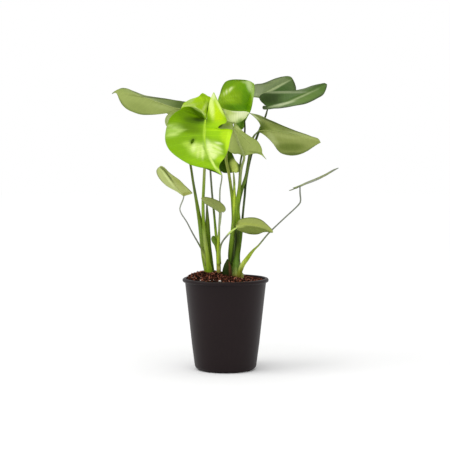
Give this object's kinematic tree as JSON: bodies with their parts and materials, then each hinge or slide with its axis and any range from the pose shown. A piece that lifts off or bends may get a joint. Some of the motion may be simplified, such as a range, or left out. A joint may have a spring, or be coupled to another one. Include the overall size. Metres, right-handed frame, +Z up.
{
  "type": "potted swiss cheese plant",
  "caption": "Young swiss cheese plant with heart-shaped leaves on long stalks, rooted in potting mix in a round tapered nursery pot",
  "frame": {"origin": "middle of the pot's flat underside", "axes": "+Z up along the pot's axis, -Y towards the viewer of the picture, +X to the viewer's right"},
  "size_m": [0.3451, 0.1786, 0.4513],
  "materials": {
    "pot_plastic": "thin moulded black-brown plastic, softly shining",
    "potting_mix": "coarse damp coir and bark chips",
    "stalk": "smooth waxy leaf stalks",
    "sheath": "papery green and brown sheath",
    "leaf_bright": "glossy young leaf, yellow-green",
    "leaf_green": "glossy leaf, mid green",
    "leaf_dark": "glossy older leaf, dark green",
    "leaf_pale": "matt pale underside"
  },
  "bodies": {
    "root": {"pot": "pot_plastic", "soil": "potting_mix", "stems_left": "stalk", "stems_middle": "stalk", "stems_right": "stalk", "bud": "sheath", "leaf_far_left": "leaf_pale", "leaf_front": "leaf_bright", "leaf_behind_left": "leaf_bright", "leaf_upper": "leaf_green", "leaf_back_right": "leaf_dark", "leaf_far_right": "leaf_dark", "leaf_right": "leaf_pale", "leaf_inner_right": "leaf_pale", "leaf_shaded": "leaf_dark", "leaf_hidden": "leaf_dark", "leaf_small_left": "leaf_pale", "leaf_small_centre": "leaf_pale", "leaf_low_right": "leaf_pale", "leaf_edge_right": "leaf_pale"}
  },
  "joints": []
}
